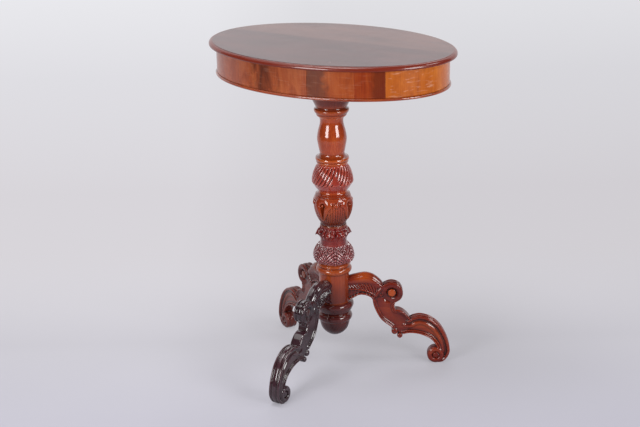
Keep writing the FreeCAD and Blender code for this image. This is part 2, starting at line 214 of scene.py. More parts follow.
def fan(ring, pole):
    """Quads that close a ring over its middle point."""
    even, odd = ring[0::2], ring[1::2]
    return np.stack([even, odd, np.roll(even, -1), np.full(len(even), pole)], -1)


def lathe(rows, around, carve=None, bend=None):
    """Closed turned skin. Carve lifts its points along the profile's normal, then bend moves them."""
    turn = np.arange(around) * 2 * math.pi / around
    theta, r = np.meshgrid(turn, rows[:, 0])
    z = np.repeat(rows[:, 1:], around, axis=1)
    if carve:
        along = np.gradient(rows, axis=0)
        along /= np.linalg.norm(along, axis=1)[:, None]
        lift = carve(theta, r, z)
        r, z = r + lift * along[:, 1:], z - lift * along[:, :1]
    if bend:
        r, z = bend(theta, r, z)
    skin = np.stack([r * np.cos(theta), r * np.sin(theta), z], -1).reshape(-1, 3)
    poles = [[0.0, 0.0, rows[0, 1]], [0.0, 0.0, rows[-1, 1]]]
    at = np.arange(len(skin)).reshape(len(rows), around)
    on = np.roll(at, -1, axis=1)
    sides = np.stack([at[:-1], on[:-1], on[1:], at[1:]], -1).reshape(-1, 4)
    ends = [fan(at[0][::-1], len(skin)), fan(at[-1], len(skin) + 1)]
    return np.vstack([skin, poles]), np.vstack([sides] + ends)


# Materials

# Polish left on faces that look up, and the upward parts of the normal between which it fades
DULL_SHARE = 0.2
DULL_FACING = (0.66, 0.9)
SCUFF_TONE = "e2b298"
PATCH_BLUR = 0.4


def linear(code):
    """Linear colour from a six-digit hex code."""
    parts = [int(code[k:k + 2], 16) / 255 for k in (0, 2, 4)]
    return [p / 12.92 if p <= 0.04045 else ((p + 0.055) / 1.055) ** 2.4 for p in parts] + [1.0]


class Nodes:
    """Small helper that adds and links shader nodes."""

    def __init__(self, name):
        self.material = bpy.data.materials.new(name)
        self.material.use_nodes = True
        self.tree = self.material.node_tree
        self.shader = self.tree.nodes["Principled BSDF"]
        self.coords = self.add("ShaderNodeTexCoord").outputs["Object"]

    def plug(self, socket, value):
        """Links a socket to another node's output, or sets it to a plain value."""
        if isinstance(value, bpy.types.NodeSocket):
            self.tree.links.new(value, socket)
        else:
            socket.default_value = value

    def add(self, kind, inputs=None, **settings):
        node = self.tree.nodes.new(kind)
        for key, value in settings.items():
            setattr(node, key, value)
        for key, value in (inputs or {}).items():
            self.plug(node.inputs[key], value)
        return node

    def noise(self, stretch, detail=4.0, rough=0.55, distortion=0.0):
        """Noise with its own scale along X, Y and Z."""
        placed = self.add("ShaderNodeMapping", {"Vector": self.coords, "Scale": stretch})
        return self.add("ShaderNodeTexNoise", {
            "Vector": placed.outputs[0], "Scale": 1.0, "Detail": detail, "Roughness": rough,
            "Distortion": distortion}).outputs["Fac"]

    def attribute(self, name):
        return self.add("ShaderNodeAttribute", attribute_name=name).outputs["Fac"]

    def ramp(self, value, *stops):
        node = self.add("ShaderNodeValToRGB", {"Fac": value})
        elements = node.color_ramp.elements
        while len(elements) < len(stops):
            elements.new(0.5)
        for element, (place, colour) in zip(elements, stops):
            element.position = place
            element.color = linear(colour) if isinstance(colour, str) else [colour] * 3 + [1.0]
        return node.outputs["Color"]

    def mix(self, kind, factor, a, b):
        """Two colours mixed or blended. The numbers are the sockets that the node uses for colours."""
        node = self.add("ShaderNodeMix", {0: factor, 6: a, 7: b}, data_type="RGBA", blend_type=kind)
        return node.outputs[2]

    def span(self, value, low, high, first=0.0, last=1.0):
        """Value carried from the range first to last to the range low to high."""
        return self.add("ShaderNodeMapRange", {
            "Value": value, "From Min": first, "From Max": last, "To Min": low, "To Max": high}).outputs[0]

    def math(self, kind, a, b):
        return self.add("ShaderNodeMath", {0: a, 1: b}, operation=kind).outputs[0]

    def toward(self, direction):
        """How far a point lies along a direction, in metres."""
        node = self.add("ShaderNodeVectorMath", {0: self.coords, 1: direction}, operation="DOT_PRODUCT")
        return node.outputs["Value"]

    def finish(self, **sockets):
        for key, value in sockets.items():
            self.plug(self.shader.inputs[key.replace("_", " ")], value)
        return self.material


def grain_scale(axis, along, across):
    """Texture scale that is stretched along one axis."""
    return tuple(along if axis == k else across for k in "XYZ")


def polished_wood(name, tones, axis, gloss, soil_and_shade=None, rough=(0.2, 0.34), figure=(3.0, 26.0, 0.9),
                  change=None, dull_tops=False):
    """French-polished mahogany with bands of figure, fibres and pores.

    Gloss: the wood's own shine, then the polish's weight, index and roughness. Soil: tone laid into
    hollows, partly old polish and partly painted shade, and the level at which it covers; ridges also get a
    little of the light tone. Figure: the bands' scale along and across the grain and their distortion.
    Change reworks the colour. Dull_tops takes polish off faces that look up."""
    n = Nodes(name)
    bands = n.noise(grain_scale(axis, figure[0], figure[1]), 3.0, 0.5, figure[2])
    fibre = n.noise(grain_scale(axis, 14.0, 420.0), 5.0, 0.6)
    pores = n.noise(grain_scale(axis, 60.0, 1500.0), 2.0, 0.5)
    cloud = n.noise((9.0, 9.0, 9.0), 2.0, 0.5)
    tone = n.mix("MIX", 0.4, bands, fibre)
    tone = n.mix("MIX", 0.3, tone, cloud)
    dark, mid, light = tones
    colour = n.ramp(tone, (0.32, dark), (0.5, mid), (0.7, light))
    if change:
        colour = change(n, colour)
    colour = n.mix("MULTIPLY", 0.4, colour, n.ramp(pores, (0.3, 0.45), (0.42, 1.0)))
    haze = n.noise((30.0, 30.0, 30.0), 4.0, 0.6)
    shine = n.span(haze, *rough)
    # Painted shade and old polish: hollows darken toward a near-black tone; ridges get a little of the
    # light tone
    if soil_and_shade:
        hollow = n.attribute("hollow")
        colour = n.mix("MIX", n.ramp(hollow, (0.5, 0.0), (soil_and_shade[1], 0.92)), colour, linear(soil_and_shade[0]))
        colour = n.mix("SCREEN", n.ramp(hollow, (0.2, 0.2), (0.42, 0.0)), colour, linear(light))
    polish = gloss[1]
    if dull_tops:
        normal = n.add("ShaderNodeNewGeometry").outputs["Normal"]
        up = n.add("ShaderNodeSeparateXYZ", {0: normal}).outputs["Z"]
        polish = n.span(up, gloss[1], DULL_SHARE * gloss[1], *DULL_FACING)
    height = n.mix("MIX", 0.5, fibre, pores)
    skin = n.add("ShaderNodeBump", {"Strength": 0.05, "Distance": 0.0006, "Height": height})
    return n.finish(Base_Color=colour, Roughness=shine, Normal=skin.outputs[0],
                    Specular_IOR_Level=gloss[0], Coat_Weight=polish, Coat_IOR=gloss[2],
                    Coat_Roughness=gloss[3])


def plain_wood(name, dark, light, axis):
    """Unpolished wood of the hidden pieces, dry and dusty."""
    n = Nodes(name)
    rings = n.noise(grain_scale(axis, 2.0, 60.0), 3.0, 0.5, 0.6)
    fibre = n.noise(grain_scale(axis, 20.0, 700.0), 4.0, 0.6)
    dust = n.noise((14.0, 14.0, 14.0), 5.0, 0.7)
    colour = n.ramp(n.mix("MIX", 0.4, rings, fibre), (0.35, dark), (0.65, light))
    colour = n.mix("MULTIPLY", 0.5, colour, n.ramp(dust, (0.3, 0.55), (0.65, 1.0)))
    skin = n.add("ShaderNodeBump", {"Strength": 0.25, "Distance": 0.0008, "Height": fibre})
    return n.finish(Base_Color=colour, Roughness=n.span(dust, 0.6, 0.85), Normal=skin.outputs[0])


def dull_steel(name):
    """Old screw heads, grey-brown with rust in patches."""
    n = Nodes(name)
    spots = n.noise((260.0, 260.0, 260.0), 5.0, 0.65)
    colour = n.ramp(spots, (0.38, "77736d"), (0.6, "4a3d33"), (0.72, "5e3a22"))
    return n.finish(Base_Color=colour, Roughness=n.span(spots, 0.3, 0.7), Metallic=0.85)


def rubbed_and_lit_patches(tone):
    """Change for a leg: the lighter tone where the polish is worn by rubbing, with painted light on the
    middle of the stem.
    """
    return lambda n, colour: n.mix("MIX", n.attribute("rubbed_and_lit"), colour, linear(tone))


def painted_shade_end(full, none, tone):
    """Change for a turning: painted shade that darkens it from one height, where it is full, to another."""
    def change(n, colour):
        z = n.add("ShaderNodeSeparateXYZ", {0: n.coords}).outputs["Z"]
        cloud = n.noise((40.0, 40.0, 25.0), 3.0, 0.6)
        place = n.mix("MIX", 0.25, n.span(z, 0.0, 1.0, full * MM, none * MM), cloud)
        return n.mix("MIX", n.ramp(place, (0.15, 0.75), (0.85, 0.0)), colour, linear(tone))

    return change


def veneer_changes(scuffed, patch=None):
    """Change for a veneer: short pale scuffs along it, and a dark cloud between two shares of its width."""
    def change(n, colour):
        if patch:
            first, last, tone, level = patch
            cloud = n.noise((46.0, 46.0, 16.0), 4.0, 0.65, 0.8)
            place = n.mix("MIX", PATCH_BLUR, n.attribute("across"), cloud)
            fade = ((first - 0.12, 0.0), (first + 0.1, 1.0), (last - 0.1, 0.9), (last + 0.12, 0.0))
            stops = [(share * (1.0 - PATCH_BLUR) + 0.5 * PATCH_BLUR, amount * level)
                     for share, amount in fade]
            colour = n.mix("MIX", n.ramp(place, *stops), colour, linear(tone))
        scuffs = n.noise((34.0, 34.0, 190.0), 3.0, 0.55, 0.5)
        return n.mix("MIX", n.ramp(scuffs, (0.57, 0.0), (0.74, scuffed)), colour, linear(SCUFF_TONE))

    return change


def top_changes(n, colour):
    """Change for the top: a redder moulded edge, and a thin dark line along the boards' joint."""
    shrink = (1000 / TOP_HALF_LENGTH, 1000 / TOP_HALF_WIDTH, 0.0)
    oval = n.add("ShaderNodeVectorMath", {0: n.coords, 1: shrink}, operation="MULTIPLY")
    out = n.add("ShaderNodeVectorMath", {0: oval.outputs[0]}, operation="LENGTH").outputs["Value"]
    colour = n.mix("MIX", n.ramp(out, (0.966, 0.0), (0.974, 0.9)), colour, linear("702414"))
    y = n.add("ShaderNodeSeparateXYZ", {0: n.coords}).outputs["Y"]
    middle, half = TOP_JOINT_Y * MM, TOP_JOINT_HALF * MM
    place = n.span(y, 0.0, 1.0, middle - half, middle + half)
    line = n.ramp(place, (0.0, 0.0), (0.5, 0.6), (1.0, 0.0))
    return n.mix("MIX", line, colour, linear("2a1512"))


# Column

TWIST_REEDS = 29
TWIST_RADIUS = 47.0
TWIST_WIDEST = 447.0
WORN_ANGLE = CAMERA_SIDE + math.radians(9.0)
VASE_LOOPS = 4
VASE_LOOP_ANGLE = math.radians(-3.0)
VASE_REEDS = 44
VASE_RADIUS = 44.5
SLIT_FOOT = 366.0
SLIT_LENGTH = 31.5
COLLAR_LEAVES = 6
COLLAR_ANGLE = math.radians(-81.0)
COLLAR_NECK = 30.0
COLLAR_FLARE = 11.0
ACANTHUS_LEAVES = 6
ACANTHUS_ANGLE = CAMERA_SIDE + math.radians(4.0)
STALKS = 54
ACANTHUS_RADIUS = 45.0
ACANTHUS_TOP = 299.0
VEIN_STEP = 8.0


def reeds(place, depth):
    """Side-by-side reeds, one to each whole number of place: low crowns with narrow furrows."""
    t = np.abs(2 * (place % 1.0) - 1)
    return -depth * (0.4 * t ** 2 + 0.6 * ease(0.55, 1.0, t))


def twist_relief(theta, r, z):
    """Spiral reeds, steeper at the top, over a plain cushion, and worn smooth in one place."""
    rise = z - TWIST_WIDEST
    wind = 0.0145 * rise - 0.00008 * rise ** 2
    worn = dome(TWIST_RADIUS * repeated(theta, WORN_ANGLE, 1), rise - 9.0, 8.5, 13.0)
    live = ease(-4.5, -0.5, rise) * (1.0 - ease(38.0, 41.0, rise)) * (1.0 - ease(0.0, 0.6, worn))
    cushion = -1.3 * (1.0 - ease(-3.5, -1.2, rise)) * ease(-17.0, -9.0, rise)
    return live * reeds((theta - wind) * TWIST_REEDS / FULL_TURN, 3.4) + cushion


def vase_relief(theta, r, z):
    """Raised loops round deep slits with a pearl in each, and reeded panels and buds between the loops."""
    u = VASE_RADIUS * repeated(theta, VASE_LOOP_ANGLE, VASE_LOOPS)
    share = np.clip((z - SLIT_FOOT) / SLIT_LENGTH, 0.0, 1.0)
    slit = np.hypot(u, z - (SLIT_FOOT + SLIT_LENGTH * share)) - (0.6 + 6.2 * share)
    wide = 1.5 + 8.7 * ease(349.0, 384.0, z) + 8.0 * ease(384.0, 404.0, z)
    limb = -3.2 + 3.8 * bump(slit - wide / 2, wide / 2 + 0.2)
    reeded = reeds((theta - VASE_LOOP_ANGLE) * VASE_REEDS / FULL_TURN, 1.5)
    panel = -2.8 + 2.2 * ease(403.0, 409.0, z) + reeded * (1.0 - ease(402.5, 405.5, z))
    lift = np.where(slit < wide, np.maximum(limb, np.where(slit > 0.7 * wide, panel, -9.0)), panel)
    lift = np.where(slit < 0.0, -3.0 - 2.6 * np.minimum(-slit, 3.6), lift)
    pearl = dome(u, z - 398.5, 3.2, 4.2)
    lift = np.where(pearl > 0.0, np.maximum(lift, -8.0 + 8.2 * pearl), lift)
    bud = dome(np.abs(u) - VASE_RADIUS * math.pi / VASE_LOOPS, z - 401.0, 6.0, 7.5)
    lift = np.where(bud > 0.0, np.maximum(lift, -3.4 + 4.2 * bud), lift)
    return lift * ease(344.0, 350.0, z) * (1.0 - ease(412.0, 413.8, z))


def collar_place(theta):
    """Place across the nearest leaf of the collar: 0 on its midrib, 1 and -1 at its edges."""
    return repeated(theta, COLLAR_ANGLE, COLLAR_LEAVES) * COLLAR_LEAVES / math.pi


def collar_relief(theta, r, z):
    """Three full lobes to a leaf, a midrib, and deep seams between the leaves."""
    a = collar_place(theta)
    over = ease(313.0, 324.0, z) * (1.0 - ease(340.0, 342.0, z))
    lobes = -3.6 * (1.0 - bump(2 * ((1.5 * a + 0.5) % 1.0) - 1, 1.06))
    rib = 0.6 * bell(a, 0.05) - 0.8 * bell(np.abs(a) - 0.1, 0.05)
    seam = -1.6 * bell(np.abs(a) - 1.0, 0.12)
    return (lobes + rib + seam) * over


def collar_bend(theta, r, z):
    """Leaves arch outward and droop at their tips, and draw in between them."""
    a = collar_place(theta)
    flare = np.clip((r - COLLAR_NECK) / COLLAR_FLARE, 0.0, 1.2)
    leaf = 1.0 - np.abs(a) ** 2.2
    lobe = 0.34 * (np.abs(np.cos(1.5 * math.pi * a)) - 1.0)
    reach = 0.5 + 0.5 * leaf + lobe
    arch = 4 * flare * np.clip(1.0 - flare, 0.0, 1.0)
    height = z + flare * (2.0 - 7.0 * leaf) + arch * (1.0 + 4.5 * leaf)
    return r - COLLAR_FLARE * flare * (1.0 - reach), height


def leaf_layer(theta, z, start, low, tip):
    """One ring of hanging acanthus leaves: raised where a leaf is, far below where none is."""
    u = ACANTHUS_RADIUS * repeated(theta, start, ACANTHUS_LEAVES)
    fall = ACANTHUS_TOP - z
    v = fall / (ACANTHUS_TOP - tip)
    swell = 10.0 + 14.0 * np.sin(math.pi / 2 * np.clip(v / 0.6, 0.0, 1.0))
    point = bump(np.clip(v - 0.6, 0.0, None), 0.4)
    phase = (fall - 0.35 * np.abs(u) ** 1.3) / VEIN_STEP
    inside = swell * point + 1.5 * np.cos(FULL_TURN * phase) - np.abs(u)
    veins = reeds(phase, 3.4) * (0.3 + 0.7 * ease(0.1, 0.3, v))
    rib = 0.9 * bell(u, 1.6) - 1.6 * bell(np.abs(u) - 3.0, 1.0)
    edge = -1.6 * (1.0 - ease(0.0, 2.0, inside))
    crown = low - 1.3 * (u / 24.0) ** 2 + veins + rib + edge
    return np.where(inside > 0.0, crown, -6.0)


def acanthus_relief(theta, r, z):
    """A ring of veined leaves that hangs over a second one, with finely hatched stalks at the top."""
    half_step = math.pi / ACANTHUS_LEAVES
    front = leaf_layer(theta, z, ACANTHUS_ANGLE, 0.2, 255.5)
    behind = leaf_layer(theta, z, ACANTHUS_ANGLE + half_step, -2.8, 253.5)
    hatch = reeds(theta * STALKS / FULL_TURN, 1.6) * ease(287.0, 293.0, z)
    lift = np.maximum(front, behind) + hatch
    return lift * ease(251.2, 253.2, z) * (1.0 - ease(296.0, 298.5, z))


# Profiles of the turnings, running upwards, as outline reads them
COLUMN = {
    "capital": [(29.0, 597.0), (32.9, 599.4, 34.5, 603.3), (34.1, 604.5), (37.8, 607.9, 39.2, 613.5),
                (38.6, 615.2), (35.3, 617.1, 34.1, 621.0), (36.2, 622.0), (43.1, 637.0, 60.0, 689.0),
                (62.0, 693.8), (62.0, 718.0)],
    "baluster": [(33.0, 489.0), (35.2, 491.4, 36.3, 494.6), (35.0, 495.8), (37.3, 498.4, 37.4, 502.5),
                 (36.9, 504.3), (30.0, 507.9, 28.0, 514.4),
                 [(30.8, 529.0), (33.4, 546.5), (31.0, 564.0), (27.4, 577.0), (26.1, 586.5), (27.0, 592.5),
                  (29.0, 597.0)]],
    "twist_bulb": [(31.5, 426.0), (32.1, 427.9), (40.7, 434.8, 47.0, 447.4), (44.7, 463.8, 36.0, 484.0),
                   (33.0, 489.0)],
    "vase": [(30.0, 342.0), (30.0, 347.0), (37.4, 358.8, 44.4, 378.1), (46.0, 391.1, 40.5, 414.0),
             (38.3, 416.0), (39.2, 418.0), (33.9, 420.7, 31.5, 426.0)],
    "leaf_collar": [(30.0, 299.0), (30.0, 311.0), (35.7, 317.9, 41.0, 326.1), (41.0, 327.4),
                    (33.6, 331.3, 30.3, 337.7), (30.0, 342.0)],
    "acanthus_bulb": [(34.5, 252.0), (42.0, 257.0, 48.0, 267.0), (45.6, 281.6, 32.0, 298.3), (30.0, 299.0)],
    "hub": [(34.5, 156.0), (34.5, 229.5), (37.0, 230.2), (40.8, 237.0, 37.2, 243.8), (35.2, 245.0),
            (36.8, 248.5, 34.8, 251.5), (34.5, 252.0)],
    "pendant": [(0.3, 71.0), (20.2, 79.5, 30.6, 92.3), (33.6, 101.6, 34.8, 110.1), (36.2, 111.5),
                (40.5, 121.0, 37.9, 127.1), (34.5, 129.5), (40.0, 138.2, 43.9, 147.1),
                (44.3, 150.5, 42.1, 156.0)],
}

# Relief, bend, points round the column and spacing up it
PLAIN_TURNING = (None, None, 224, 0.9)
CARVING = {
    "twist_bulb": (twist_relief, None, 760, 0.8),
    "vase": (vase_relief, None, 640, 0.7),
    "leaf_collar": (collar_relief, collar_bend, 600, 0.5),
    "acanthus_bulb": (acanthus_relief, None, 720, 0.55),
}

# Dark, middle and light tone of the wood, partly painted shade: the capital under the top and the lower
# sections, the pendant most, are set darker
COLUMN_TONES = {
    "capital": ("6a2212", "90381a", "ae582a"),
    "baluster": ("74240c", "a03c14", "c0622a"),
    "twist_bulb": ("781f18", "9c3424", "b8553a"),
    "vase": ("6c2010", "923418", "b05424"),
    "leaf_collar": ("521012", "741e1a", "963a2a"),
    "acanthus_bulb": ("582026", "7c3436", "9a5452"),
    "hub": ("68220e", "8a3416", "a65226"),
    "pendant": ("320f11", "4a1a19", "662e28"),
}

# Heights where the painted shade is full and where it ends, and its tone: darker towards the bottom of
# vase, hub and pendant, and towards the top of the capital under the table top
PAINTED_SHADE_ENDS = {
    "vase": (346.0, 394.0, "340e0a"),
    "hub": (150.0, 218.0, "451614"),
    "capital": (632.0, 616.0, "481410"),
    "pendant": (71.0, 112.0, "2a1010"),
}

# Tone and level of the darkening in hollows, which is old polish and painted shade, and gloss, as
# polished_wood takes them
PLAIN_SOIL_AND_SHADE = ("5c2212", 0.9)
COLUMN_SOIL_AND_SHADE = {
    "twist_bulb": ("2c0d08", 0.84),
    "vase": ("340f08", 0.92),
    "leaf_collar": ("2c0d08", 0.82),
    "acanthus_bulb": ("2c0d08", 0.74),
}
PLAIN_GLOSS = (0.06, 0.9, 1.52, 0.06)
COLUMN_GLOSS = {
    "baluster": (0.08, 1.0, 1.56, 0.06),
    "twist_bulb": (0.2, 1.0, 1.72, 0.06),
    "acanthus_bulb": (0.3, 1.0, 1.76, 0.07),
}

# Rounds of smoothing and depth that mark_hollows works with
COLUMN_HOLLOWS = (12, 0.9)


def build_column():
    """The eight turnings of the column."""
    for node, steps in COLUMN.items():
        relief, bend, around, step = CARVING.get(node, PLAIN_TURNING)
        verts, quads = lathe(outline(steps, step), around, relief, bend)
        change = painted_shade_end(*PAINTED_SHADE_ENDS[node]) if node in PAINTED_SHADE_ENDS else None
        material = polished_wood(node + "_mahogany", COLUMN_TONES[node], "Z",
                                 COLUMN_GLOSS.get(node, PLAIN_GLOSS),
                                 soil_and_shade=COLUMN_SOIL_AND_SHADE.get(node, PLAIN_SOIL_AND_SHADE), change=change)
        piece = add_piece(node + "_turned", verts, quads, material, node)
        mark_hollows(piece, *COLUMN_HOLLOWS)


# Legs: lines are (reach from the axis, height above the floor) in the leg's own plane

# Grid: its spacing and its corners as (reach, side, height)
LEG_STEP = 0.9
LEG_LOW = (31.0, -17.5, -1.5)
LEG_HIGH = (269.0, 17.5, 228.0)
RELAX_ROUNDS = 10
RELAX_PULL, RELAX_PUSH = 0.5, -0.52
LEG_HOLLOWS = (14, 1.0)

# Roundings of the carving's edges and greatest half thicknesses
SHARP_EDGE, LEAF_EDGE, SOFT_EDGE = 1.8, 2.4, 2.6
STEM_MOST, SCROLL_MOST, FOOT_MOST = 14.4, 13.4, 14.0
PART_BLEND = 1.0

VOLUTE = (132.0, 176.5)
VOLUTE_GAP = -128.0
VOLUTE_FLOOR = 6.8
EYE_RADIUS = 9.2
FOOT = (234.0, 19.4)
FOOT_RADIUS = 20.0
ARM_TOP = [(30.0, 207.0), (45.0, 213.0), (59.0, 216.0), (73.0, 216.6), (86.5, 211.5), (100.0, 202.0),
           (114.0, 189.0)]
ARM_ARCH = [(94.0, 150.0), (82.0, 166.5), (61.0, 172.4), (44.7, 165.5), (30.0, 157.0)]
ARM_RIB = [(30.0, 186.0), (48.0, 187.0), (63.0, 184.5), (80.0, 179.0), (96.0, 168.0)]
ARM_ROLL = [(24.0, 203.0), (42.0, 206.5), (60.0, 209.5), (74.0, 210.0), (88.0, 204.0), (101.0, 194.5),
            (113.0, 186.5)]
STEM_LEFT = [(131.0, 90.5), (108.6, 109.0), (96.0, 130.0), (88.5, 152.0), (89.5, 169.0), (99.5, 186.0)]
VOLUTE_RIM = [(99.5, 186.0), (114.5, 197.6), (132.0, 202.5), (150.0, 195.2), (158.0, 176.5), (153.0, 161.0),
              (140.0, 151.8)]
STEM_RIGHT = [(140.0, 151.8), (137.8, 143.0), (141.0, 135.0)]
SHELF = [(141.0, 135.0), (149.0, 134.0), (159.0, 129.0), (168.5, 120.0), (174.5, 112.0)]
SCROLL_OUTER = [(171.0, 109.0), (182.0, 115.0), (200.6, 117.2), (224.0, 109.0), (245.4, 89.5),
                (260.8, 60.0), (267.0, 34.0), (265.0, 20.0), (258.5, 9.0), (250.0, 2.0), (240.0, 0.0)]
SCROLL_INNER = [(240.0, 31.0), (233.5, 46.0), (220.0, 61.0), (198.5, 71.5), (175.5, 75.2), (158.0, 72.5)]
# Ends that close the outlines of stem, scroll and arm
STEM_FOOT = [(174.5, 112.0), (170.0, 88.0), (158.0, 72.5), (131.0, 90.5)]
SCROLL_CURL = [(240.0, 0.0), (238.0, 14.0), (240.0, 31.0)]
SCROLL_ROOT = [(158.0, 72.5), (152.0, 84.0), (160.0, 100.0), (171.0, 109.0)]
ARM_END = [(114.0, 189.0), (112.0, 170.0), (94.0, 150.0)]
ARM_ROOT = [(30.0, 157.0), (30.0, 207.0)]
# Reach, height and radius
CURLS = ((138.5, 80.0, 7.5), (150.5, 69.5, 6.5))

ROLL_ALONG = [0.0, 18.0, 45.0, 62.0, 80.0, 100.0]
ROLL_THICKNESS = [11.4, 13.6, 15.2, 15.0, 12.8, 7.0]
ROLL_LINES = (0.0, 0.44, 0.88)

# Lightened lines on the middles of stem and scroll: painted light on the stem's hollow panel, polish worn
# by rubbing on the scroll
STEM_PAINTED_LIGHT = [(118.0, 150.0), (128.0, 122.0), (152.0, 102.0)]
SCROLL_RUB = [(185.0, 98.0), (216.0, 90.0), (240.0, 66.0)]

# Tones of the wood, gloss and tone of the lightened places, which are worn polish and, on the stem, painted
# light
LEG_FINISH = {
    # The tones of the three legs differ partly as painted shade and light: the front leg darker, the right
    # leg redder
    "leg_front": (("1b0c10", "311820", "4a2a30"), (0.1, 1.0, 1.66, 0.06), "4a2c2c"),
    "leg_right": (("380a08", "681b12", "9a3e1e"), (0.08, 0.85, 1.5, 0.06), "b04c1a"),
    "leg_back": (("421616", "622822", "824034"), (0.1, 0.8, 1.46, 0.08), "7c3c26"),
}
# Tone and level of the darkening in the legs' hollows: old polish and painted shade
LEG_SOIL_AND_SHADE = ("220a07", 0.78)


def distance_to(line, x, z):
    """Distance from points to a line, and how far along the line the nearest place is."""
    best = np.full(x.shape, 1e9)
    along = np.zeros(x.shape)
    done = 0.0
    for (ax, az), (bx, bz) in zip(line[:-1], line[1:]):
        ex, ez = bx - ax, bz - az
        length = math.hypot(ex, ez)
        t = np.clip(((x - ax) * ex + (z - az) * ez) / max(length ** 2, 1e-9), 0.0, 1.0)
        d = np.hypot(x - ax - t * ex, z - az - t * ez)
        nearer = d < best
        best = np.where(nearer, d, best)
        along = np.where(nearer, done + t * length, along)
        done += length
    return best, along


def depth_in(loop, x, z):
    """Distance inside a closed outline, negative outside."""
    ring = np.vstack([loop, loop[:1]])
    distance = distance_to(ring, x, z)[0]
    inside = np.zeros(x.shape, bool)
    for (ax, az), (bx, bz) in zip(ring[:-1], ring[1:]):
        if az == bz:
            continue
        crosses = (az > z) != (bz > z)
        inside ^= crosses & (x < ax + (z - az) * (bx - ax) / (bz - az))
    return np.where(inside, distance, -distance)


def chain(*runs):
    """One closed outline from smooth runs that meet at corners."""
    return np.vstack([spline(run)[:-1] if len(run) > 2 else np.array(run[:-1], float)
                      for run in runs])


